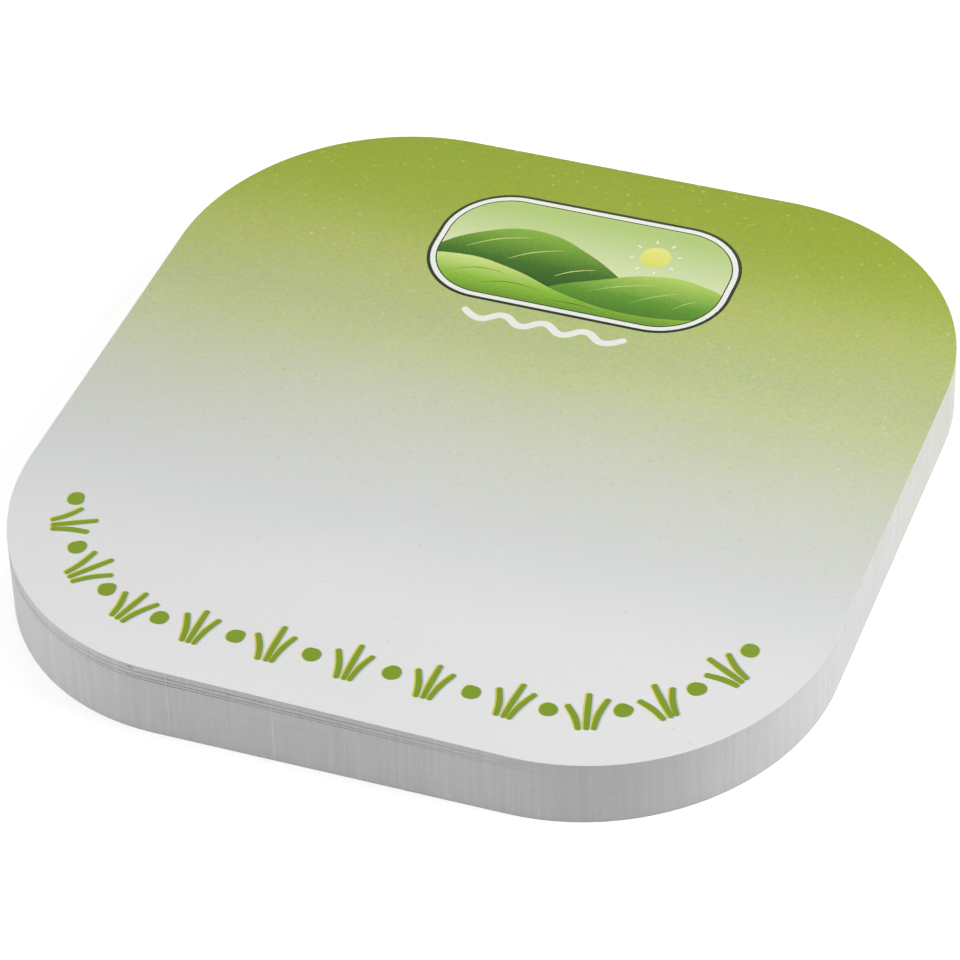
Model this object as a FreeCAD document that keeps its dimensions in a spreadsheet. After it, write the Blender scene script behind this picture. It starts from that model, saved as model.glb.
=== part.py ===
import FreeCAD, Part
import math
import os
import Sketcher

# Die-cut sticky note pad. A stack of equal paper notes is cut in one stroke to a square with wide
# round corners. The notes are bonded to each other only in a band at the +X side. There the stack
# is pressed thin, and from there it fans out, note over note, towards the loose -X side, where a
# few of the upper notes have parted and leave thin wedges of air. The whole stack has been pushed
# back and leans towards its head end. The last note sticks to a backing sheet.
# X runs across the notes to the bonded side, +Y to their head end, +Z up through the stack. The
# origin is on the underside, in the middle of the leaning stack's length. Lengths are millimetres.

# name, value, meaning
SIZES = (
    ("note_width", 75.0, "outline, across the notes"),
    ("note_depth", 75.0, "outline, from foot end to head end"),
    ("corner_radius", 21.4, "round corners of the cutting die"),
    ("backing_thick", 0.2, "backing sheet under the last note"),
    ("note_count", 50.0, "notes in the stack"),
    ("pitch_bonded", 0.105, "from one note to the next at the bonded side"),
    ("pitch_loose", 0.138, "from one note to the next at the loose side"),
    ("stack_lean", 8.7, "degrees that the stack leans from upright towards its head end"),
    ("bond_start", 20.0, "from the middle to the line where the notes hold together"),
    ("first_gap_notes", 4.0, "notes above the first gap"),
    ("first_gap_open", 0.09, "height of the first gap at the loose side"),
    ("second_gap_notes", 7.0, "notes above the second gap"),
    ("second_gap_open", 0.12, "height of the second gap at the loose side"),
    ("third_gap_notes", 9.0, "notes above the third gap"),
    ("third_gap_open", 0.06, "height of the third gap at the loose side"),
    ("cut_clear", 1.0, "how far the cut over the stack reaches past the uncut block"),
)
GAPS = ("first_gap", "second_gap", "third_gap")

# Expressions of the sheet's values. The reach of a side view is well past the block's sides, and
# the highest point of the head end is where its straight part meets the loose side's arc.
HALF_WIDTH = "(sizes.note_width / 2)"
REACH = "sizes.note_width"
PITCH_MIDDLE = "((sizes.pitch_bonded + sizes.pitch_loose) / 2)"
PITCH_GAIN = "((sizes.pitch_loose - sizes.pitch_bonded) / sizes.note_width)"
LEAN = "tan(sizes.stack_lean * 1 deg)"
HEAD_RISE = f"(sizes.note_count * ({PITCH_MIDDLE} + {PITCH_GAIN} * ({HALF_WIDTH} - sizes.corner_radius)))"
SETBACK = f"({LEAN} * {HEAD_RISE} / 2)"

# A sketch's own origin, and the start, end and centre of its lines and arcs.
SKETCH_ORIGIN = (-1, 1)
START = 1
END = 2
CENTRE = 3
QUARTER_TURN = math.pi / 2


def add_sizes(doc):
    """The driving dimensions, one row each: name, value, meaning."""
    sheet = doc.addObject("Spreadsheet::Sheet", "sizes")
    for row, (name, value, meaning) in enumerate(SIZES, start=1):
        sheet.set(f"A{row}", name)
        sheet.set(f"B{row}", str(value))
        sheet.setAlias(f"B{row}", name)
        sheet.set(f"C{row}", meaning)
    doc.recompute()
    return sheet


def level(sheet, notes_above, towards_loose):
    """Height of a note's upper face, at a distance from the middle towards the loose side."""
    middle = (sheet.pitch_bonded + sheet.pitch_loose) / 2
    gain = (sheet.pitch_loose - sheet.pitch_bonded) / sheet.note_width
    return sheet.backing_thick + (sheet.note_count - notes_above) * (middle + gain * towards_loose)


def level_expression(notes_above, towards_loose):
    """The same height as an expression of the sheet's values."""
    pitch = f"({PITCH_MIDDLE} + {PITCH_GAIN} * {towards_loose})"
    return f"sizes.backing_thick + (sizes.note_count - {notes_above}) * {pitch}"


def add_sketch(body, name, role):
    """A sketch on one of the body's own origin planes."""
    plane = next(feature for feature in body.Origin.OriginFeatures if feature.Role == role)
    sketch = body.newObject("Sketcher::SketchObject", name)
    sketch.AttachmentSupport = [(plane, "")]
    sketch.MapMode = "FlatFace"
    return sketch


def bind(sketch, name, constraint, expression):
    """Adds a named dimension and ties it to the sheet."""
    index = sketch.addConstraint(constraint)
    sketch.renameConstraint(index, name)
    sketch.setExpression(f"Constraints.{name}", expression)


def bind_point(sketch, name, line, end, place, expressions):
    """Ties one end of a line to its distances across and above the sketch's origin."""
    across, above = place
    across_expression, above_expression = expressions
    if across < 0:
        constraint = Sketcher.Constraint("DistanceX", line, end, *SKETCH_ORIGIN, -across)
    else:
        constraint = Sketcher.Constraint("DistanceX", *SKETCH_ORIGIN, line, end, across)
    bind(sketch, f"{name}_across", constraint, across_expression)
    constraint = Sketcher.Constraint("DistanceY", *SKETCH_ORIGIN, line, end, above)
    bind(sketch, f"{name}_above", constraint, above_expression)


def add_loop(sketch, points):
    """Draws a closed loop of straight lines and joins their ends."""
    first = sketch.GeometryCount
    count = len(points)
    for index in range(count):
        start = FreeCAD.Vector(*points[index])
        end = FreeCAD.Vector(*points[(index + 1) % count])
        sketch.addGeometry(Part.LineSegment(start, end))
    for index in range(count):
        following = first + (index + 1) % count
        sketch.addConstraint(Sketcher.Constraint("Coincident", first + index, END, following, START))
    return range(first, first + count)


def add_outline(body, sheet, name):
    """The cutting die's outline, four straight sides joined by four equal tangent arcs.

    It is set back by half of what the stack leans forward over its height.
    """
    half_x = sheet.note_width / 2
    half_y = sheet.note_depth / 2
    radius = sheet.corner_radius
    flat_x = half_x - radius
    flat_y = half_y - radius
    sketch = add_sketch(body, name, "XY_Plane")
    # Counter-clockwise from the foot side. Each side is followed by the arc to the next one.
    sides = (
        ((-flat_x, -half_y), (flat_x, -half_y)),
        ((half_x, -flat_y), (half_x, flat_y)),
        ((flat_x, half_y), (-flat_x, half_y)),
        ((-half_x, flat_y), (-half_x, -flat_y)),
    )
    centres = ((flat_x, -flat_y), (flat_x, flat_y), (-flat_x, flat_y), (-flat_x, -flat_y))
    for start, end in sides:
        sketch.addGeometry(Part.LineSegment(FreeCAD.Vector(*start), FreeCAD.Vector(*end)))
    for turn, centre in enumerate(centres, start=-1):
        circle = Part.Circle(FreeCAD.Vector(*centre), FreeCAD.Vector(0, 0, 1), radius)
        sketch.addGeometry(Part.ArcOfCircle(circle, turn * QUARTER_TURN, (turn + 1) * QUARTER_TURN))
    foot, bonded, head, loose = range(4)
    arcs = range(4, 8)
    for side, arc in enumerate(arcs):
        following = (side + 1) % 4
        sketch.addConstraint(Sketcher.Constraint("Tangent", side, END, arc, START))
        sketch.addConstraint(Sketcher.Constraint("Tangent", arc, END, following, START))
    for side in (foot, head):
        sketch.addConstraint(Sketcher.Constraint("Horizontal", side))
    for side in (bonded, loose):
        sketch.addConstraint(Sketcher.Constraint("Vertical", side))
    for arc in arcs[1:]:
        sketch.addConstraint(Sketcher.Constraint("Equal", arcs[0], arc))
    opposite_centres = (arcs[0], CENTRE, arcs[2], CENTRE)
    sketch.addConstraint(Sketcher.Constraint("Symmetric", *opposite_centres, *SKETCH_ORIGIN))
    width = Sketcher.Constraint("DistanceX", loose, START, bonded, START, sheet.note_width)
    bind(sketch, "width", width, "sizes.note_width")
    depth = Sketcher.Constraint("DistanceY", foot, START, head, START, sheet.note_depth)
    bind(sketch, "depth", depth, "sizes.note_depth")
    bind(sketch, "corner", Sketcher.Constraint("Radius", arcs[0], radius), "sizes.corner_radius")
    sketch.setExpression("AttachmentOffset.Base.y", f"-{SETBACK} * 1 mm")
    return sketch


def add_backing_sheet(doc, sheet):
    """The sheet that the last note sticks to, cut in the same stroke as the notes."""
    body = doc.addObject("PartDesign::Body", "backing_sheet")
    body.Label = "backing_sheet"
    pad = body.newObject("PartDesign::Pad", "backing_pad")
    pad.Profile = add_outline(body, sheet, "backing_outline")
    pad.setExpression("Length", "sizes.backing_thick")
    return body


def add_room_above(body, sheet):
    """Everything of the uncut block that lies over the top note."""
    span = sheet.note_width
    loose_end = (-span, level(sheet, 0, span))
    bonded_end = (span, level(sheet, 0, -span))
    cover_height = loose_end[1] + sheet.cut_clear
    sketch = add_sketch(body, "room_above_notes", "XZ_Plane")
    top_note, bonded_wall, cover, loose_wall = add_loop(
        sketch, (loose_end, bonded_end, (span, cover_height), (-span, cover_height))
    )
    sketch.addConstraint(Sketcher.Constraint("Vertical", bonded_wall))
    sketch.addConstraint(Sketcher.Constraint("Horizontal", cover))
    sketch.addConstraint(Sketcher.Constraint("Vertical", loose_wall))
    loose_expressions = (REACH, level_expression(0, REACH))
    bind_point(sketch, "loose_end", top_note, START, loose_end, loose_expressions)
    bonded_expressions = (REACH, level_expression(0, f"(-{REACH})"))
    bind_point(sketch, "bonded_end", top_note, END, bonded_end, bonded_expressions)
    clear = Sketcher.Constraint("DistanceY", loose_wall, END, loose_wall, START, sheet.cut_clear)
    bind(sketch, "cover_over_block", clear, "sizes.cut_clear")
    return sketch


def add_air_wedges(body, sheet):
    """The gaps, each shut at the line where the notes hold together and open past the loose side."""
    span = sheet.note_width
    hinge_x = sheet.bond_start
    growth = (hinge_x + span) / (hinge_x + sheet.note_width / 2)
    growth_expression = f"((sizes.bond_start + {REACH}) / (sizes.bond_start + {HALF_WIDTH}))"
    sketch = add_sketch(body, "air_between_notes", "XZ_Plane")
    for gap in GAPS:
        notes_above = sheet.get(f"{gap}_notes")
        mouth_height = sheet.get(f"{gap}_open") * growth
        hinge = (hinge_x, level(sheet, notes_above, -hinge_x))
        roof_end = (-span, level(sheet, notes_above, span))
        floor_end = (-span, roof_end[1] - mouth_height)
        roof, mouth, _ = add_loop(sketch, (hinge, roof_end, floor_end))
        sketch.addConstraint(Sketcher.Constraint("Vertical", mouth))
        above = f"sizes.{gap}_notes"
        hinge_expressions = ("sizes.bond_start", level_expression(above, "(-sizes.bond_start)"))
        bind_point(sketch, f"{gap}_hinge", roof, START, hinge, hinge_expressions)
        roof_expressions = (REACH, level_expression(above, REACH))
        bind_point(sketch, f"{gap}_roof", roof, END, roof_end, roof_expressions)
        height = Sketcher.Constraint("DistanceY", mouth, END, mouth, START, mouth_height)
        bind(sketch, f"{gap}_mouth", height, f"sizes.{gap}_open * {growth_expression}")
    return sketch


def cut_across(body, name, profile):
    """Cuts a side-view profile right through the notes, both ways from the middle."""
    pocket = body.newObject("PartDesign::Pocket", name)
    pocket.Profile = profile
    pocket.Midplane = True
    pocket.setExpression("Length", "2 * sizes.note_depth")
    return pocket


def add_note_stack(doc, sheet):
    """All the notes, as the one leaning block that their bond makes of them."""
    body = doc.addObject("PartDesign::Body", "note_stack")
    body.Label = "note_stack"
    outline = add_outline(body, sheet, "note_outline")
    outline.setExpression("AttachmentOffset.Base.z", "sizes.backing_thick")
    pad = body.newObject("PartDesign::Pad", "uncut_block")
    pad.Profile = outline
    pad.UseCustomVector = True
    pad.Direction = FreeCAD.Vector(0, 0, 1)
    pad.setExpression("Direction.y", LEAN)
    pad.setExpression("Length", f"{level_expression(0, REACH)} - sizes.backing_thick")
    cut_across(body, "fan_cut", add_room_above(body, sheet))
    cut_across(body, "gap_cut", add_air_wedges(body, sheet))
    return body


def check(doc, pieces):
    """Stops before anything is written if an object failed or a piece is not one sound solid."""
    failed = [obj.Name for obj in doc.Objects if "Invalid" in obj.State or "Error" in obj.State]
    if failed:
        raise RuntimeError(f"failed objects: {failed}")
    for piece in pieces:
        shape = piece.Shape
        if shape.isNull() or not shape.isValid() or len(shape.Solids) != 1:
            raise RuntimeError(f"{piece.Label} is not one valid solid")


def check_cuts(body):
    """Stops if a cut took nothing away."""
    volumes = [feature.Shape.Volume for feature in body.Group if hasattr(feature, "Profile")]
    for before, after in zip(volumes, volumes[1:]):
        if after >= before:
            raise RuntimeError(f"a cut in {body.Label} missed the block")


def write(pieces):
    os.makedirs("parts", exist_ok=True)
    for piece in pieces:
        piece.Shape.exportStep(f"parts/{piece.Label}.step")
        box = piece.Shape.BoundBox
        lengths = f"{box.XLength:.2f} x {box.YLength:.2f} x {box.ZLength:.2f} mm"
        print(f"{piece.Label}: {lengths}, {piece.Shape.Volume:.1f} mm3")


def main():
    doc = FreeCAD.newDocument("sticky_note_pad")
    sheet = add_sizes(doc)
    backing_sheet = add_backing_sheet(doc, sheet)
    note_stack = add_note_stack(doc, sheet)
    doc.recompute()
    check(doc, (backing_sheet, note_stack))
    check_cuts(note_stack)
    write((backing_sheet, note_stack))


main()
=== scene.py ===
import math
import random

import bmesh
import bpy
from mathutils import Matrix, Vector


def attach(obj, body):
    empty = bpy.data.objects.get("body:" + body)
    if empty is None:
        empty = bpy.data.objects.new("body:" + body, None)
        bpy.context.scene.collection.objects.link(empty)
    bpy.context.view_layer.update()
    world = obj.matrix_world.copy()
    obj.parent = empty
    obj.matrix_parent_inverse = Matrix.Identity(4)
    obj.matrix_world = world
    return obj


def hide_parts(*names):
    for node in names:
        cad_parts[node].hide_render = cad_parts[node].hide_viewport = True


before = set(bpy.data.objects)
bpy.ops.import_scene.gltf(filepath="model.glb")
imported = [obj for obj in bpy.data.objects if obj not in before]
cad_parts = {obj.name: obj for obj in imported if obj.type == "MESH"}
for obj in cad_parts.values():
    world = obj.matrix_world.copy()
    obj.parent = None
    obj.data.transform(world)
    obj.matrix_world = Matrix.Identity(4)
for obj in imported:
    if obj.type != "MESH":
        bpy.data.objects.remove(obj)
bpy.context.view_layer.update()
random.seed(5)

MM = 0.001

# Sizes of the pad in millimetres, the same as in the part's source.
NOTE_WIDTH = 75.0
NOTE_DEPTH = 75.0
CORNER_RADIUS = 21.4
BACKING_THICK = 0.2
NOTE_COUNT = 50
PITCH_BONDED = 0.105
PITCH_LOOSE = 0.138
LEAN_ANGLE = math.radians(8.7)
LEAN = math.tan(LEAN_ANGLE)
BOND_START = 20.0
# Notes above each gap, and its height at the loose side.
GAPS = {4: 0.09, 7: 0.12, 9: 0.06}
# Where the visible stack is parted: single notes at the top and under the gaps, and packs between.
CUT_LEVELS = (0, 1, 2, 3, 4, 5, 7, 8, 9, 10)

HALF_WIDTH = NOTE_WIDTH / 2
HALF_DEPTH = NOTE_DEPTH / 2
PITCH_MIDDLE = (PITCH_BONDED + PITCH_LOOSE) / 2
PITCH_GAIN = (PITCH_LOOSE - PITCH_BONDED) / NOTE_WIDTH
HEAD_RISE = NOTE_COUNT * (PITCH_MIDDLE + PITCH_GAIN * (HALF_WIDTH - CORNER_RADIUS))
SETBACK = LEAN * HEAD_RISE / 2
# Height of the block that the notes are cut out of.
ABOVE_STACK = 9.0
# Cuts across the block on each side of its middle, so that its straight edges can ripple.
RIPPLE_CUTS = 7
RIPPLE_STEP = 2
# A point nearer to a plane than this lies on it.
NEAR = 0.002

# Under a gap the paper hangs and is worn back by up to these depths, in waves that are longer under
# the lower gaps and longer than this under all of them.
HANGING = 0.06
WORN = 0.24
SHORTEST_WAVE = 5
# The gap starts to close at this share of the way to the loose side, and over the rest of the way it
# closes by the last share.
CLOSING_START = 0.7
CLOSING_REST = 0.3
CLOSING_SHARE = 0.9
# Each note is trimmed by an amount between these two and lies off the middle by up to the offset.
TRIM = (0.012, 0.02)
OFFSET = 0.006
PRESSED_TRIM = 0.01
SOFT_EDGE = 0.03
# A bruise in the foot edge: its distance from the middle, how far its centre lies outside the edge,
# its radius and how far it is stretched along each axis.
NICK = -17.6
NICK_OUTSIDE = 0.02
NICK_RADIUS = 0.45
NICK_STRETCH = (1.1, 0.8, 0.36)

# The top note's middle, from which its print is measured.
TOP_HEIGHT = BACKING_THICK + NOTE_COUNT * PITCH_MIDDLE
TOP_FORWARD = LEAN * (TOP_HEIGHT - BACKING_THICK) - SETBACK

# Print, in millimetres on the note. The wash's colours stand at their distance from the middle.
WASH = (
    (-37.5, "e6e6e6"),
    (-24.0, "e2e2e2"),
    (-20.0, "dedede"),
    (-16.0, "d8dadb"),
    (-12.0, "d4d6d4"),
    (-8.0, "d1d4cc"),
    (-4.0, "ced1c4"),
    (0.0, "cacfb9"),
    (4.0, "c6cbaa"),
    (8.0, "c1c897"),
    (12.0, "b8c28d"),
    (16.0, "b5c07e"),
    (20.0, "b2bc6e"),
    (24.0, "a8b65a"),
    (28.0, "9faf4a"),
    (32.0, "9aab40"),
    (37.5, "95a83c"),
)
PICTURE_MIDDLE = (0.4, 23.4)
PICTURE_SIZE = (27.6, 13.6)
PICTURE_CORNER = 5.6
SUN = (6.6, 26.0)
SUN_RADIUS = 1.45
# Where a ray starts, bends and ends, from the middle of the sun.
RAY = (1.9, 2.2, 2.6)
HILL_BEHIND = (
    *((-15, 12), (-14.5, 20.5), (-9.5, 25.4), (-4.6, 26.5)),
    *((0.6, 24.6), (5.5, 21.4), (9.5, 18.6), (12, 12)),
)
HILL_AT_RIGHT = (
    *((-6, 12), (-2.6, 18.2), (2.6, 21.4), (7.6, 23.4)),
    *((11.6, 23.4), (15.5, 21.4), (17, 12)),
)
HILL_IN_FRONT = (
    *((-17, 12), (-15.6, 19.6), (-11.0, 21.3), (-5.6, 20.6), (0, 18.6)),
    *((6, 17.6), (12, 18.2), (17, 19.6), (18, 12)),
)
FURROWS_BEHIND = (
    ((-11.0, 22.6), (-8.4, 24.4), (-5.4, 25.4)),
    ((-6.6, 21.9), (-4.6, 23.4), (-1.8, 24.5)),
    ((-1.6, 20.7), (-0.2, 21.8), (2.0, 22.7)),
)
FURROWS_AT_RIGHT = (
    ((1.6, 19.3), (4.6, 21.0), (8.2, 22.3)),
    ((6.2, 18.9), (8.2, 20.5), (10.8, 21.8)),
    ((10.4, 19.2), (11.4, 20.4), (12.6, 21.2)),
)
FURROWS_IN_FRONT = (
    ((-11.6, 18.6), (-8.8, 19.9), (-5.4, 19.7)),
    ((-8.6, 17.6), (-5.4, 18.7), (-1.4, 18.2)),
    ((-1.6, 17.3), (1.4, 17.5), (4.6, 17.2)),
)
WAVE_HEIGHT = 13.6
WAVE_RISE = 0.5
WAVE_REACH = 8
HALF_WAVE = 2
# The row along the foot: its distance from the middle, the step from mark to mark, and how many
# marks stand on each side of the one in the middle.
FOOT_LINE = 33.6
FOOT_PITCH = 3.55
FOOT_MARKS = 11
# How far each blade of a tuft leans over, and its height.
BLADES = ((-1.6, 3.2), (0.15, 4.2), (1.65, 3.3))
DOT_RADIUS = 0.8
DOT_MIDDLE = (0, 2.0)
OUT_OF_REGISTER = 0.1
# How far a printed field reaches down into the paper.
SUNK = 0.004


# Camera: where the photograph was taken from, as fitted to the pad's outline.

AZIMUTH = math.radians(25.68)
ELEVATION = math.radians(41.87)
ROLL = math.radians(-6.49)
DISTANCE = 344.2 * MM
AIM = Vector((-0.968, -0.617, 0)) * MM
FOCAL_PIXELS = 3833.2
PHOTO_PIXELS = 960
SENSOR = 36.0


def add_camera():
    back = Vector(
        (
            math.sin(AZIMUTH) * math.cos(ELEVATION),
            -math.cos(AZIMUTH) * math.cos(ELEVATION),
            math.sin(ELEVATION),
        )
    )
    level_right = Vector((0, 0, 1)).cross(back).normalized()
    level_up = back.cross(level_right)
    right = math.cos(ROLL) * level_right + math.sin(ROLL) * level_up
    up = back.cross(right)
    bpy.ops.object.camera_add()
    camera = bpy.context.object
    turn = Matrix((right, up, back)).transposed().to_4x4()
    camera.matrix_world = Matrix.Translation(AIM + back * DISTANCE) @ turn
    camera.data.sensor_width = SENSOR
    camera.data.lens = FOCAL_PIXELS / PHOTO_PIXELS * SENSOR
    camera.data.clip_start = 0.01
    camera.data.clip_end = 10
    bpy.context.scene.camera = camera
    bpy.context.scene.view_settings.view_transform = "Standard"


# Modelling by hand: small helpers for picking and cutting.


def make_active(piece):
    bpy.ops.object.select_all(action="DESELECT")
    piece.select_set(True)
    bpy.context.view_layer.objects.active = piece


def settle(piece):
    """Leaves the piece's place, turn and size in its mesh."""
    make_active(piece)
    bpy.ops.object.transform_apply(location=True, rotation=True, scale=True)


def copy_of(piece, name):
    """A copy with its own mesh."""
    twin = piece.copy()
    twin.data = piece.data.copy()
    twin.name = name
    bpy.context.collection.objects.link(twin)
    return twin


def join(pieces):
    bpy.ops.object.select_all(action="DESELECT")
    for piece in pieces:
        piece.select_set(True)
    bpy.context.view_layer.objects.active = pieces[0]
    bpy.ops.object.join()
    return bpy.context.object


def pick_edges(piece, wanted):
    """In edit mode, selects the edges that pass the test."""
    bpy.ops.mesh.select_mode(type="EDGE")
    bpy.ops.mesh.select_all(action="DESELECT")
    mesh = bmesh.from_edit_mesh(piece.data)
    for edge in mesh.edges:
        edge.select_set(wanted(edge))
    bmesh.update_edit_mesh(piece.data)


def cut(piece, point, normal, keep=None):
    """Cuts through the piece. keep "below" or "above" drops the other side and closes the cut."""
    make_active(piece)
    bpy.ops.object.mode_set(mode="EDIT")
    bpy.ops.mesh.select_all(action="SELECT")
    bpy.ops.mesh.bisect(
        plane_co=point,
        plane_no=normal,
        use_fill=keep is not None,
        clear_outer=keep == "below",
        clear_inner=keep == "above",
    )
    bpy.ops.object.mode_set(mode="OBJECT")


def apply_modifier(piece, kind, **settings):
    make_active(piece)
    modifier = piece.modifiers.new(kind.title(), kind)
    for setting, value in settings.items():
        setattr(modifier, setting, value)
    bpy.ops.object.modifier_apply(modifier=modifier.name)


def round_plate(width, depth, radius, segments):
    """A flat sheet with round corners, ready to be pulled up in edit mode."""
    bpy.ops.object.select_all(action="DESELECT")
    bpy.ops.mesh.primitive_plane_add(size=1)
    plate = bpy.context.object
    plate.scale = (width * MM, depth * MM, 1)
    settle(plate)
    bpy.ops.object.mode_set(mode="EDIT")
    bpy.ops.mesh.select_all(action="SELECT")
    bpy.ops.mesh.bevel(offset=radius * MM, segments=segments, affect="VERTICES")
    bpy.ops.object.mode_set(mode="OBJECT")
    return plate


def pull_up(sheet, travel):
    """Extrudes the whole sheet along the travel, into a closed solid."""
    make_active(sheet)
    bpy.ops.object.mode_set(mode="EDIT")
    bpy.ops.mesh.select_all(action="SELECT")
    bpy.ops.mesh.extrude_region_move(TRANSFORM_OT_translate={"value": travel})
    bpy.ops.mesh.select_all(action="SELECT")
    bpy.ops.mesh.normals_make_consistent(inside=False)
    bpy.ops.object.mode_set(mode="OBJECT")


def finish_piece(piece, name):
    """Smooths the piece, names it and hangs it on the pad."""
    make_active(piece)
    bpy.ops.object.shade_smooth_by_angle(angle=math.radians(30))
    piece.name = name
    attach(piece, "root")


# The fan. A plane in it is given by its height in the middle and its rise towards the loose side.


def fan_plane(middle_height, rise):
    return Vector((0, 0, middle_height * MM)), Vector((rise, 0, 1)).normalized()


def note_level(notes_above):
    """Upper face of the note that has this many over it."""
    notes = NOTE_COUNT - notes_above
    return BACKING_THICK + notes * PITCH_MIDDLE, notes * PITCH_GAIN


def gap_floor(notes_above):
    """Lower side of the gap under this many notes: shut at the bond, open at the loose side."""
    height, rise = note_level(notes_above)
    drop = GAPS[notes_above] / (BOND_START + HALF_WIDTH)
    return height - drop * BOND_START, rise - drop


# Notes.


def die_cut_block():
    """A tall leaning block with the die's outline, its straight sides divided into short runs."""
    block = round_plate(NOTE_WIDTH, NOTE_DEPTH, CORNER_RADIUS, segments=32)
    block.location = Vector((0, -SETBACK, BACKING_THICK)) * MM
    settle(block)
    pull_up(block, Vector((0, LEAN, 1)) * ABOVE_STACK * MM)
    for step in range(-RIPPLE_CUTS, RIPPLE_CUTS + 1):
        cut(block, Vector((step * RIPPLE_STEP * MM, 0, 0)), Vector((1, 0, 0)))
        cut(block, Vector((0, step * RIPPLE_STEP * MM, 0)), Vector((0, 1, 0)))
    return block


def sag(piece, notes_above):
    """The paper under a gap hangs and is worn back unevenly, but the gap closes at the loose side."""
    point, normal = fan_plane(*gap_floor(notes_above))
    hanging = piece.vertex_groups.new(name="hanging")
    closing = piece.vertex_groups.new(name="closing")
    worn = piece.vertex_groups.new(name="worn")
    for vertex in piece.data.vertices:
        looseness = max(BOND_START - vertex.co.x / MM, 0) / (BOND_START + HALF_WIDTH)
        slack = math.sin(math.pi * looseness)
        if abs((vertex.co - point).dot(normal)) < NEAR * MM:
            hanging.add([vertex.index], slack, "REPLACE")
            closed = max(looseness - CLOSING_START, 0) / CLOSING_REST
            closing.add([vertex.index], closed, "REPLACE")
        if vertex.co.y < 0:
            worn.add([vertex.index], slack, "REPLACE")
    clouds = bpy.data.textures.new("sag", "CLOUDS")
    clouds.noise_scale = (SHORTEST_WAVE + notes_above) * MM
    for group, direction, middle, strength in (
        ("hanging", "Z", 1.0, HANGING),
        ("worn", "Y", 0.0, WORN),
    ):
        apply_modifier(
            piece,
            "DISPLACE",
            texture=clouds,
            texture_coords="LOCAL",
            direction=direction,
            mid_level=middle,
            strength=strength * MM,
            vertex_group=group,
        )
    apply_modifier(
        piece,
        "DISPLACE",
        direction="Z",
        mid_level=0.0,
        strength=CLOSING_SHARE * GAPS[notes_above] * MM,
        vertex_group="closing",
    )
    piece.vertex_groups.clear()


def note_between(block, upper, lower):
    """The notes from one level down to another, cut out of the block."""
    piece = copy_of(block, "note")
    cut(piece, *fan_plane(*note_level(upper)), keep="below")
    if upper in GAPS:
        cut(piece, *fan_plane(*gap_floor(upper)), keep="below")
        sag(piece, upper)
    if lower is not None:
        cut(piece, *fan_plane(*note_level(lower)), keep="above")
    return piece


def misplace(piece):
    """No note lies exactly on the next: each is a hair small and off the middle."""
    trim = 1 - random.uniform(*TRIM) / HALF_WIDTH
    piece.scale = (trim, trim, 1)
    shift = (random.uniform(-OFFSET, OFFSET), random.uniform(-OFFSET, OFFSET), 0)
    piece.location = Vector(shift) * MM
    settle(piece)


def round_top_edge(piece):
    """The die leaves a soft edge on the top note."""
    point, normal = fan_plane(*note_level(0))

    def on_rim(edge):
        on_top = all(abs((vertex.co - point).dot(normal)) < NEAR * MM for vertex in edge.verts)
        return on_top and any(face.normal.z < 0.5 for face in edge.link_faces)

    make_active(piece)
    bpy.ops.object.mode_set(mode="EDIT")
    pick_edges(piece, on_rim)
    bpy.ops.mesh.bevel(offset=SOFT_EDGE * MM, segments=2, affect="EDGES")
    bpy.ops.object.mode_set(mode="OBJECT")


def nick(piece, place):
    """A small bruise in the edge of the upper notes."""
    bpy.ops.object.select_all(action="DESELECT")
    bpy.ops.mesh.primitive_uv_sphere_add(
        segments=24,
        ring_count=12,
        radius=NICK_RADIUS * MM,
        location=place,
    )
    tool = bpy.context.object
    tool.scale = NICK_STRETCH
    settle(tool)
    apply_modifier(piece, "BOOLEAN", object=tool, operation="DIFFERENCE", solver="EXACT")
    bpy.data.objects.remove(tool)


def build_notes(edge_paper, printed_paper):
    block = die_cut_block()
    notes = []
    for upper, lower in zip(CUT_LEVELS, CUT_LEVELS[1:]):
        note = note_between(block, upper, lower)
        misplace(note)
        notes.append(note)
    round_top_edge(notes[0])
    # The bruise is centred under the second note and reaches into the upper four.
    height, rise = note_level(2)
    edge = -HALF_DEPTH + TOP_FORWARD - NICK_OUTSIDE
    bruise = Vector((NICK, edge, height - rise * NICK)) * MM
    for note in notes[:4]:
        nick(note, bruise)
    # Below the last cut the notes are pressed together and stay one pack.
    pressed = note_between(block, CUT_LEVELS[-1], None)
    trim = 1 - PRESSED_TRIM / HALF_WIDTH
    pressed.scale = (trim, trim, 1)
    settle(pressed)
    notes.append(pressed)
    bpy.data.objects.remove(block)
    for note in notes:
        note.data.materials.clear()
        note.data.materials.append(edge_paper)
        note.data.materials.append(printed_paper)
    point, normal = fan_plane(*note_level(0))
    for face in notes[0].data.polygons:
        if (face.center - point).dot(normal) > -NEAR * MM:
            face.material_index = 1
    stack = join(notes)
    finish_piece(stack, "notes")
    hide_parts("note_stack")


# Print. Each shape is drawn flat and then laid on the top note, a few thousandths deep in the paper.


def draw(points, closed):
    """A smooth curve through the points."""
    bpy.ops.object.select_all(action="DESELECT")
    bpy.ops.curve.primitive_bezier_curve_add()
    curve = bpy.context.object
    bpy.ops.object.mode_set(mode="EDIT")
    bpy.ops.curve.select_all(action="SELECT")
    bpy.ops.curve.subdivide(number_cuts=len(points) - 2)
    bpy.ops.curve.handle_type_set(type="AUTOMATIC")
    if closed:
        bpy.ops.curve.cyclic_toggle()
    bpy.ops.object.mode_set(mode="OBJECT")
    for knot, (x, y) in zip(curve.data.splines[0].bezier_points, points):
        knot.co = Vector((x, y, 0)) * MM
    curve.data.resolution_u = 6
    return curve


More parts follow.
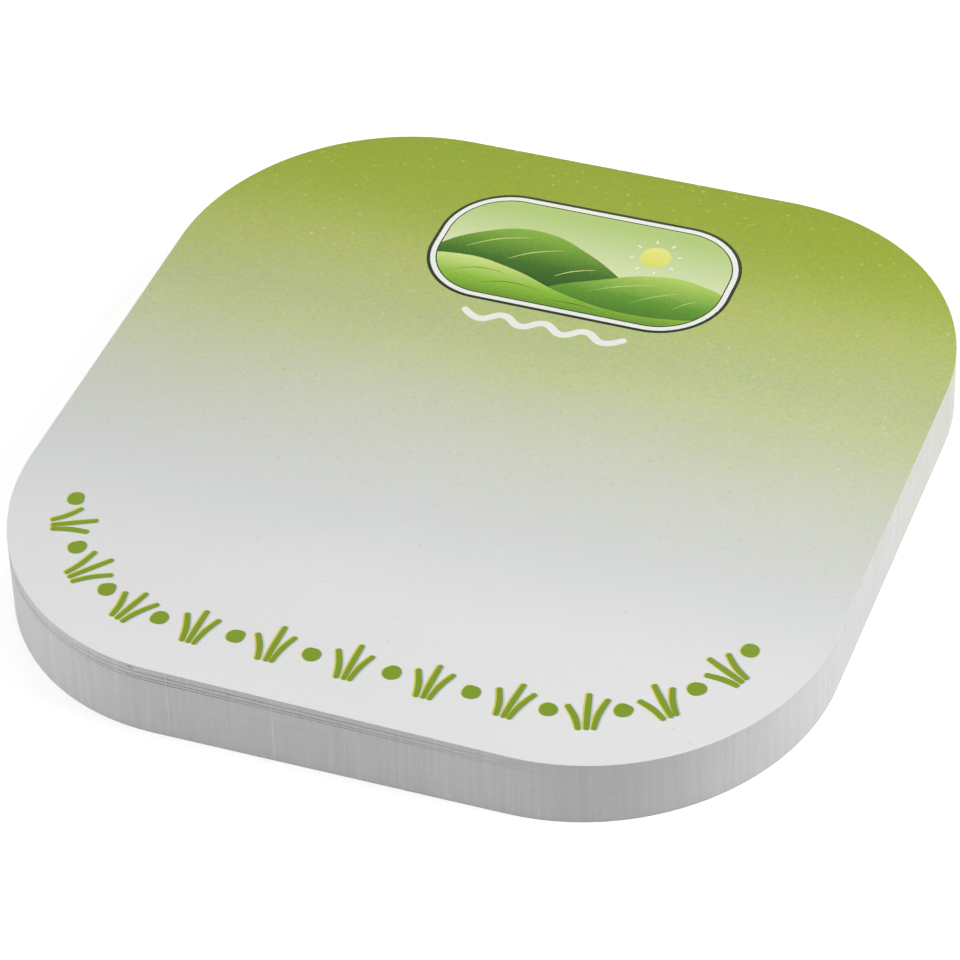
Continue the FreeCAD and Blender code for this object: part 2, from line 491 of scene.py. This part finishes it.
def make_mesh(curve):
    make_active(curve)
    bpy.ops.object.convert(target="MESH")
    shape = bpy.context.object
    bpy.ops.object.mode_set(mode="EDIT")
    bpy.ops.mesh.select_all(action="SELECT")
    bpy.ops.mesh.remove_doubles(threshold=0.0005 * MM)
    bpy.ops.mesh.normals_make_consistent(inside=False)
    bpy.ops.object.mode_set(mode="OBJECT")
    return shape


def field(points, layer):
    """A printed field inside a closed curve. layer is the height of its face over the paper."""
    curve = draw(points, closed=True)
    curve.data.dimensions = "2D"
    curve.data.fill_mode = "BOTH"
    curve.data.extrude = (layer + SUNK) / 2 * MM
    shape = make_mesh(curve)
    shape.location.z = (layer - SUNK) / 2 * MM
    settle(shape)
    return shape


def plate(margin, layer):
    """A printed field with the picture's outline, widened by the margin."""
    size = [side + 2 * margin for side in PICTURE_SIZE]
    shape = round_plate(*size, PICTURE_CORNER + margin, segments=16)
    shape.location = Vector((*PICTURE_MIDDLE, -SUNK)) * MM
    settle(shape)
    pull_up(shape, Vector((0, 0, layer + SUNK)) * MM)
    return shape


def hill(points, layer):
    """A field that ends at the picture's outline."""
    shape = field(points, layer)
    outline = plate(0, 1)
    outline.location.z = -0.5 * MM
    settle(outline)
    apply_modifier(shape, "BOOLEAN", object=outline, operation="INTERSECT", solver="EXACT")
    bpy.data.objects.remove(outline)
    return shape


def stroke(points, width, layer):
    """A pen stroke, pressed flat. Extra knots narrow it to a half circle at either end."""
    points = [Vector(point) for point in points]
    # Each knot's distance from the end and its width, as shares of the stroke's width.
    cap = ((0.0, 0.04), (0.07, 0.5), (0.25, 0.87))
    first = (points[1] - points[0]).normalized() * width
    last = (points[-2] - points[-1]).normalized() * width
    knots = [(points[0] + first * along, share) for along, share in cap]
    knots += [(point, 1) for point in points[1:-1]]
    knots += [(points[-1] + last * along, share) for along, share in reversed(cap)]
    curve = draw([knot for knot, share in knots], closed=False)
    curve.data.bevel_depth = width / 2 * MM
    curve.data.bevel_resolution = 2
    curve.data.use_fill_caps = True
    for knot, (place, share) in zip(curve.data.splines[0].bezier_points, knots):
        knot.radius = share
    shape = make_mesh(curve)
    shape.scale.z = layer / (width / 2)
    settle(shape)
    return shape


def lay_on_top(shape, name, ink):
    """Tilts the flat drawing onto the upper face of the top note."""
    normal = fan_plane(*note_level(0))[1]
    shape.location = Vector((0, TOP_FORWARD, TOP_HEIGHT)) * MM
    shape.rotation_mode = "QUATERNION"
    shape.rotation_quaternion = Vector((0, 0, 1)).rotation_difference(normal)
    settle(shape)
    shape.rotation_mode = "XYZ"
    shape.data.materials.clear()
    shape.data.materials.append(ink)
    finish_piece(shape, name)


def ring(middle, radius, count):
    """Points round a circle."""
    x, y = middle
    turns = [2 * math.pi * step / count for step in range(count)]
    return [(x + radius * math.cos(turn), y + radius * math.sin(turn)) for turn in turns]


def sun_rays():
    """Eight short strokes round the sun."""
    rays = []
    for angle in range(15, 375, 45):
        outward = Vector((math.cos(math.radians(angle)), math.sin(math.radians(angle))))
        points = [Vector(SUN) + outward * distance for distance in RAY]
        rays.append(stroke(points, width=0.42, layer=0.009))
    return join(rays)


def furrows(lines, width, layer):
    return join([stroke(line, width, layer) for line in lines])


def print_picture():
    """Green hills under a small sun in a round-cornered frame, with a white wave below."""
    black = printing_ink("black_ink", 15, 31, [(0.0, "23271f"), (1.0, "3a412f")])
    white = printing_ink("unprinted_white", 12, 31, [(0.0, "e9ece4"), (1.0, "eff1e6")])
    sky = printing_ink("sky_ink", 20, 30, [(0.0, "e6ecc8"), (1.0, "b4cc7d")])
    sun = printing_ink("sun_ink", 23, 28, [(0.0, "d3d94a"), (1.0, "e9e88c")])
    deep_tones = [(0.0, "1f331b"), (0.5, "3f6b24"), (1.0, "87b343")]
    middle_tones = [(0.0, "2c4c1d"), (0.55, "5f9430"), (1.0, "b0cf63")]
    bright_tones = [(0.0, "4b7a27"), (0.5, "8dba3c"), (1.0, "d3e28d")]
    deep = printing_ink("deep_green_ink", 18, 27, deep_tones)
    middle = printing_ink("middle_green_ink", 16, 24, middle_tones)
    bright = printing_ink("bright_green_ink", 16, 22, bright_tones)
    # Later inks lie over earlier ones, in layers that are thousandths of a millimetre apart.
    lay_on_top(plate(margin=0.95, layer=0.003), "frame_shadow", black)
    lay_on_top(plate(margin=0.62, layer=0.005), "frame_line", white)
    lay_on_top(plate(margin=0.12, layer=0.006), "frame_inner_line", black)
    lay_on_top(plate(margin=0, layer=0.007), "sky", sky)
    lay_on_top(sun_rays(), "sun_rays", white)
    lay_on_top(field(ring(SUN, SUN_RADIUS, 12), layer=0.009), "sun", sun)
    lay_on_top(hill(HILL_BEHIND, layer=0.010), "hill_behind", deep)
    lay_on_top(furrows(FURROWS_BEHIND, width=0.3, layer=0.012), "furrows_behind", bright)
    lay_on_top(hill(HILL_AT_RIGHT, layer=0.013), "hill_at_right", middle)
    lay_on_top(furrows(FURROWS_AT_RIGHT, width=0.3, layer=0.015), "furrows_at_right", bright)
    lay_on_top(hill(HILL_IN_FRONT, layer=0.016), "hill_in_front", bright)
    lay_on_top(furrows(FURROWS_IN_FRONT, width=0.32, layer=0.018), "furrows_in_front", deep)
    crests = range(-WAVE_REACH, WAVE_REACH + 1, HALF_WAVE)
    wave = [(x, WAVE_HEIGHT + WAVE_RISE * (-1) ** step) for step, x in enumerate(crests)]
    lay_on_top(stroke(wave, width=0.78, layer=0.005), "wave", white)


def foot_place(distance):
    """Place and turn of a mark on the line along the note's foot, by its way from the middle."""
    corner = HALF_WIDTH - CORNER_RADIUS
    radius = FOOT_LINE - corner
    if abs(distance) <= corner:
        return Vector((distance, -FOOT_LINE, 0)), 0
    side = math.copysign(1, distance)
    turn = (abs(distance) - corner) / radius
    x = side * (corner + radius * math.sin(turn))
    return Vector((x, -corner - radius * math.cos(turn), 0)), side * turn


def tuft():
    """Three blades of grass in quick pen strokes."""
    blades = []
    for lean, height in BLADES:
        lean += random.uniform(-0.2, 0.2)
        height += random.uniform(-0.3, 0.3)
        foot = lean * 0.34
        points = ((foot, 0), (foot + lean * 0.22, height * 0.5), (lean, height))
        blades.append(stroke(points, width=0.66, layer=0.010))
    return join(blades)


def dot():
    """A dot that isn't quite round."""
    rim = [
        (x * random.uniform(0.95, 1.04), y * random.uniform(0.95, 1.04))
        for x, y in ring(DOT_MIDDLE, DOT_RADIUS, 8)
    ]
    return field(rim, layer=0.009)


def misprint(row, name, shift, share):
    """The row in another ink, shifted sideways and thinner, so that only its edge shows."""
    twin = copy_of(row, name)
    twin.location.x = shift * MM
    twin.scale.z = share
    settle(twin)
    return twin


def print_foot_row():
    """A hand-drawn row of grass and dots along the foot, its inks slightly out of register."""
    marks = []
    for step in range(-FOOT_MARKS, FOOT_MARKS + 1):
        mark = tuft() if step % 2 == 0 else dot()
        place, turn = foot_place(step * FOOT_PITCH)
        mark.location = place * MM
        mark.rotation_euler.z = turn + random.uniform(-0.06, 0.06)
        settle(mark)
        marks.append(mark)
    green = join(marks)
    yellow = misprint(green, "foot_row_yellow", -OUT_OF_REGISTER, 0.55)
    blue = misprint(green, "foot_row_blue", OUT_OF_REGISTER, 0.5)
    for row, name, ink, darker, lighter in (
        (green, "foot_row", "grass_green_ink", "7a9527", "839b30"),
        (yellow, "foot_row_yellow", "yellow_ink", "d0c650", "d4cb60"),
        (blue, "foot_row_blue", "pale_blue_ink", "bfc5d4", "c5cbd8"),
    ):
        lay_on_top(row, name, printing_ink(ink, -34, -12, [(0.0, darker), (1.0, lighter)]))


# Materials.


def linear(hexadecimal):
    """An sRGB colour such as "e0e0e0" as the linear values that a socket takes."""
    channels = [int(hexadecimal[start : start + 2], 16) / 255 for start in (0, 2, 4)]
    lit = [c / 12.92 if c <= 0.04045 else ((c + 0.055) / 1.055) ** 2.4 for c in channels]
    return (*lit, 1)


def add(tree, kind, inputs=None, stops=None, **settings):
    """Adds a node with its settings. A socket's input is a value or another node's output."""
    made = tree.nodes.new(kind)
    for setting, value in settings.items():
        setattr(made, setting, value)
    for socket, value in (inputs or {}).items():
        if isinstance(value, bpy.types.NodeSocket):
            tree.links.new(value, made.inputs[socket])
        else:
            made.inputs[socket].default_value = value
    if stops:
        ramp = made.color_ramp
        while len(ramp.elements) < len(stops):
            ramp.elements.new(1)
        for element, (position, color) in zip(ramp.elements, stops):
            element.position = position
            element.color = linear(color)
    return made


def new_material(name, roughness, shine):
    """A material with its shader. shine is its specular level, 0.5 for the full gloss of its IOR."""
    material = bpy.data.materials.new(name)
    material.use_nodes = True
    shader = material.node_tree.nodes["Principled BSDF"]
    shader.inputs["Roughness"].default_value = roughness
    shader.inputs["Specular IOR Level"].default_value = shine
    return material, material.node_tree, shader


def millimetres(tree, scale=(1, 1, 1), lean=0):
    """Object coordinates in millimetres, set upright from the lean and then multiplied by scale."""
    place = add(tree, "ShaderNodeTexCoord")
    mapped = add(
        tree,
        "ShaderNodeMapping",
        {
            "Vector": place.outputs["Object"],
            "Rotation": (-lean, 0, 0),
            "Scale": [MM / factor for factor in scale],
        },
        vector_type="TEXTURE",
    )
    return mapped.outputs["Vector"]


def flecks(tree, place, base, color, per_mm, radii, strength, within=None):
    """Round flecks over the base colour, from cells in space, per_mm of them along each millimetre.
    A fleck shows where the paper passes near a cell's middle. It is strongest inside the first
    radius and ends at the second, both as shares of a cell."""
    cells = add(tree, "ShaderNodeTexVoronoi", {"Vector": place, "Scale": per_mm})
    amount = add(
        tree,
        "ShaderNodeMapRange",
        {
            "Value": cells.outputs["Distance"],
            "From Min": radii[0],
            "From Max": radii[1],
            "To Min": strength,
            "To Max": 0.0,
        },
    )
    share = amount.outputs["Result"]
    if within is not None:
        thinned = add(tree, "ShaderNodeMath", {0: share, 1: within}, operation="MULTIPLY")
        share = thinned.outputs["Value"]
    flecked = add(
        tree,
        "ShaderNodeMix",
        {0: share, 6: base, 7: linear(color)},
        data_type="RGBA",
    )
    return flecked.outputs[2]


def printed_note_paper():
    """Uncoated offset-printed paper: a matt, toothy sheet on which the ink lies in a fine grain."""
    material, tree, shader = new_material("uncoated_paper_offset_print", roughness=0.9, shine=0.2)
    place = millimetres(tree)
    position = add(tree, "ShaderNodeSeparateXYZ", {"Vector": place})
    cloud = add(tree, "ShaderNodeTexNoise", {"Vector": place, "Scale": 0.09, "Detail": 2.0})
    # The wash wavers by a millimetre or so, and is a little heavier on the loose side.
    waver = add(
        tree,
        "ShaderNodeMapRange",
        {"Value": cloud.outputs["Fac"], "To Min": -2.0 - TOP_FORWARD, "To Max": 2.0 - TOP_FORWARD},
    )
    heavier = add(
        tree,
        "ShaderNodeMath",
        {0: position.outputs["X"], 1: -0.02, 2: waver.outputs["Result"]},
        operation="MULTIPLY_ADD",
    )
    shifted = add(
        tree,
        "ShaderNodeMath",
        {0: position.outputs["Y"], 1: heavier.outputs["Value"]},
        operation="ADD",
    )
    along = add(
        tree,
        "ShaderNodeMapRange",
        {"Value": shifted.outputs["Value"], "From Min": -HALF_DEPTH, "From Max": HALF_DEPTH},
    )
    wash = add(
        tree,
        "ShaderNodeValToRGB",
        {"Fac": along.outputs["Result"]},
        stops=[((y + HALF_DEPTH) / NOTE_DEPTH, color) for y, color in WASH],
    )
    coverage = add(
        tree,
        "ShaderNodeMapRange",
        {"Value": position.outputs["Y"], "From Min": -20.0, "From Max": 12.0},
    )
    # Fine yellow flecks, where the blue ink has missed the paper.
    yellowed = flecks(
        tree,
        place,
        wash.outputs["Color"],
        "c8c04a",
        per_mm=0.8,
        radii=(0.05, 0.18),
        strength=0.75,
        within=coverage.outputs["Result"],
    )
    # Fewer pale ones, where no ink has taken.
    paled = flecks(
        tree,
        place,
        yellowed,
        "cfdcd2",
        per_mm=0.42,
        radii=(0.03, 0.09),
        strength=0.45,
    )
    # Dark specks of pulp, one or two in each square centimetre.
    specked = flecks(
        tree,
        place,
        paled,
        "8d8f80",
        per_mm=0.36,
        radii=(0.02, 0.06),
        strength=0.22,
    )
    # Ink grain and paper tooth, about 0.4 mm across, with finer grain in it. Each ink has its own.
    grain = add(
        tree,
        "ShaderNodeTexNoise",
        {"Vector": place, "Scale": 2.6, "Detail": 3.0, "Roughness": 0.7},
    )
    depth = add(
        tree,
        "ShaderNodeMapRange",
        {"Value": coverage.outputs["Result"], "To Min": 0.1, "To Max": 0.27},
    )
    printed = add(
        tree,
        "ShaderNodeMix",
        {0: depth.outputs["Result"], 6: specked, 7: grain.outputs["Color"]},
        data_type="RGBA",
        blend_type="OVERLAY",
    )
    tree.links.new(printed.outputs[2], shader.inputs["Base Color"])
    relief = add(
        tree,
        "ShaderNodeBump",
        {"Height": grain.outputs["Fac"], "Strength": 0.3, "Distance": 0.01 * MM},
    )
    tree.links.new(relief.outputs["Normal"], shader.inputs["Normal"])
    return material


def printing_ink(name, low, high, stops):
    """Matt ink soaked into the paper, its tones set between two heights on the note."""
    material, tree, shader = new_material(name, roughness=0.8, shine=0.25)
    place = millimetres(tree)
    position = add(tree, "ShaderNodeSeparateXYZ", {"Vector": place})
    along = add(
        tree,
        "ShaderNodeMapRange",
        {
            "Value": position.outputs["Y"],
            "From Min": low + TOP_FORWARD,
            "From Max": high + TOP_FORWARD,
        },
    )
    grain = add(tree, "ShaderNodeTexNoise", {"Vector": place, "Scale": 3.0, "Detail": 2.0})
    blurred = add(
        tree,
        "ShaderNodeMath",
        {0: grain.outputs["Fac"], 1: 0.16, 2: along.outputs["Result"]},
        operation="MULTIPLY_ADD",
    )
    tone = add(tree, "ShaderNodeValToRGB", {"Fac": blurred.outputs["Value"]}, stops=stops)
    tree.links.new(tone.outputs["Color"], shader.inputs["Base Color"])
    relief = add(
        tree,
        "ShaderNodeBump",
        {"Height": grain.outputs["Fac"], "Strength": 0.3, "Distance": 0.008 * MM},
    )
    tree.links.new(relief.outputs["Normal"], shader.inputs["Normal"])
    return material


def cut_paper_edge():
    """Die-cut paper edges: dense, matt and pale, with fine streaks that the knife left."""
    material, tree, shader = new_material("die_cut_paper_edge", roughness=0.85, shine=0.25)
    # The streaks run up the leaning stack, so the pattern hardly changes along it.
    streaks = add(
        tree,
        "ShaderNodeTexNoise",
        {
            "Vector": millimetres(tree, (1, 1, 0.04), LEAN_ANGLE),
            "Scale": 2.0,
            "Detail": 4.0,
            "Roughness": 0.6,
        },
    )
    tone = add(
        tree,
        "ShaderNodeValToRGB",
        {"Fac": streaks.outputs["Fac"]},
        stops=[(0.28, "d4d5d4"), (0.5, "dadbda"), (0.66, "dedfde"), (0.8, "ebebeb")],
    )
    # Single scratches, pale and narrow, some millimetres apart.
    scratches = add(
        tree,
        "ShaderNodeTexNoise",
        {
            "Vector": millimetres(tree, (1, 1, 0.012), LEAN_ANGLE),
            "Scale": 5.5,
            "Detail": 1.0,
        },
    )
    scratch_amount = add(
        tree,
        "ShaderNodeMapRange",
        {
            "Value": scratches.outputs["Fac"],
            "From Min": 0.68,
            "From Max": 0.8,
            "To Min": 0.0,
            "To Max": 0.7,
        },
    )
    scratched = add(
        tree,
        "ShaderNodeMix",
        {0: scratch_amount.outputs["Result"], 6: tone.outputs["Color"], 7: linear("f6f6f6")},
        data_type="RGBA",
    )
    # The single sheets show as very fine bands, coarser here than they are, to be seen at all.
    sheets = add(
        tree,
        "ShaderNodeTexNoise",
        {"Vector": millimetres(tree, (0.02, 0.02, 1)), "Scale": 3.4, "Detail": 3.0},
    )
    band_depth = add(
        tree,
        "ShaderNodeMapRange",
        {"Value": sheets.outputs["Fac"], "To Min": 0.95, "To Max": 1.05},
    )
    banded = add(
        tree,
        "ShaderNodeVectorMath",
        {0: scratched.outputs[2], "Scale": band_depth.outputs["Result"]},
        operation="SCALE",
    )
    position = add(tree, "ShaderNodeSeparateXYZ", {"Vector": millimetres(tree)})
    # The wash runs off the note and tints the edges slightly towards the head.
    tint_amount = add(
        tree,
        "ShaderNodeMapRange",
        {
            "Value": position.outputs["Y"],
            "From Min": -10.0,
            "From Max": 34.0,
            "To Min": 0.0,
            "To Max": 0.3,
        },
    )
    tinted = add(
        tree,
        "ShaderNodeMix",
        {0: tint_amount.outputs["Result"], 6: banded.outputs["Vector"], 7: linear("d6dcae")},
        data_type="RGBA",
    )
    tree.links.new(tinted.outputs[2], shader.inputs["Base Color"])
    relief = add(
        tree,
        "ShaderNodeBump",
        {"Height": streaks.outputs["Fac"], "Strength": 0.2, "Distance": 0.02 * MM},
    )
    tree.links.new(relief.outputs["Normal"], shader.inputs["Normal"])
    return material


def release_card():
    """Thin release-coated card: smooth, a little darker than the notes, with a faint sheen."""
    material, tree, shader = new_material("release_coated_card", roughness=0.5, shine=0.4)
    pulp = add(
        tree,
        "ShaderNodeTexNoise",
        {"Vector": millimetres(tree), "Scale": 0.9, "Detail": 5.0, "Roughness": 0.6},
    )
    tone = add(
        tree,
        "ShaderNodeValToRGB",
        {"Fac": pulp.outputs["Fac"]},
        stops=[(0.3, "d0cfcb"), (0.7, "d7d6d3")],
    )
    tree.links.new(tone.outputs["Color"], shader.inputs["Base Color"])
    relief = add(
        tree,
        "ShaderNodeBump",
        {"Height": pulp.outputs["Fac"], "Strength": 0.2, "Distance": 0.01 * MM},
    )
    tree.links.new(relief.outputs["Normal"], shader.inputs["Normal"])
    return material


# Stage: floor, sky and soft lamps. The glow and the white sky are only for what is seen of them, and
# cast no light on the pad. The floor's size is in metres.

FLOOR_SIZE = 4
FLOOR_GLOW = 0.56
SKY_LIGHT = 0.07
SKY_SEEN = 1.0


def seen_directly(tree):
    """1 for what the camera sees itself, in a mirror or through glass, else 0."""
    path = add(tree, "ShaderNodeLightPath")
    glossy = add(
        tree,
        "ShaderNodeMath",
        {0: path.outputs["Is Camera Ray"], 1: path.outputs["Is Glossy Ray"]},
        operation="MAXIMUM",
    )
    through = add(
        tree,
        "ShaderNodeMath",
        {0: glossy.outputs["Value"], 1: path.outputs["Is Transmission Ray"]},
        operation="MAXIMUM",
    )
    return through.outputs["Value"]


def add_floor():
    bpy.ops.object.select_all(action="DESELECT")
    bpy.ops.mesh.primitive_plane_add(size=FLOOR_SIZE)
    floor = bpy.context.object
    floor.name = "floor"
    material = bpy.data.materials.new("white_paper_sweep")
    material.use_nodes = True
    tree = material.node_tree
    tree.nodes.clear()
    matt = add(tree, "ShaderNodeBsdfDiffuse", {"Color": linear("d0d0d0")})
    glow = add(tree, "ShaderNodeEmission", {"Color": (1, 1, 1, 1), "Strength": FLOOR_GLOW})
    both = add(tree, "ShaderNodeAddShader", {0: matt.outputs[0], 1: glow.outputs[0]})
    choice = add(
        tree,
        "ShaderNodeMixShader",
        {0: seen_directly(tree), 1: matt.outputs[0], 2: both.outputs[0]},
    )
    add(tree, "ShaderNodeOutputMaterial", {"Surface": choice.outputs[0]})
    floor.data.materials.append(material)


def set_sky():
    world = bpy.data.worlds.new("studio")
    bpy.context.scene.world = world
    world.use_nodes = True
    tree = world.node_tree
    tree.nodes.clear()
    dim = add(tree, "ShaderNodeBackground", {"Color": (1, 1, 1, 1), "Strength": SKY_LIGHT})
    white = add(tree, "ShaderNodeBackground", {"Color": (1, 1, 1, 1), "Strength": SKY_SEEN})
    choice = add(
        tree,
        "ShaderNodeMixShader",
        {0: seen_directly(tree), 1: dim.outputs[0], 2: white.outputs[0]},
    )
    add(tree, "ShaderNodeOutputWorld", {"Surface": choice.outputs[0]})


def add_softbox(name, bearing, height, distance, size, watts):
    """A square lamp that looks at the pad. bearing is counted from +X towards +Y, in degrees."""
    turn = math.radians(bearing)
    lift = math.radians(height)
    towards = Vector(
        (
            math.cos(lift) * math.cos(turn),
            math.cos(lift) * math.sin(turn),
            math.sin(lift),
        )
    )
    bpy.ops.object.light_add(type="AREA", location=towards * distance)
    lamp = bpy.context.object
    lamp.name = name
    lamp.rotation_mode = "QUATERNION"
    lamp.rotation_quaternion = towards.to_track_quat("Z", "Y")
    lamp.data.size = size
    lamp.data.energy = watts


def light():
    set_sky()
    add_floor()
    add_softbox("key", bearing=18, height=31, distance=1.6, size=0.9, watts=21.2)
    add_softbox("fill", bearing=212, height=30, distance=1.6, size=1.1, watts=14.6)
    add_softbox("top", bearing=80, height=78, distance=1.6, size=1.0, watts=7.6)


def main():
    add_camera()
    build_notes(cut_paper_edge(), printed_note_paper())
    print_picture()
    print_foot_row()
    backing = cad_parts["backing_sheet"]
    backing.data.materials.clear()
    backing.data.materials.append(release_card())
    light()


main()
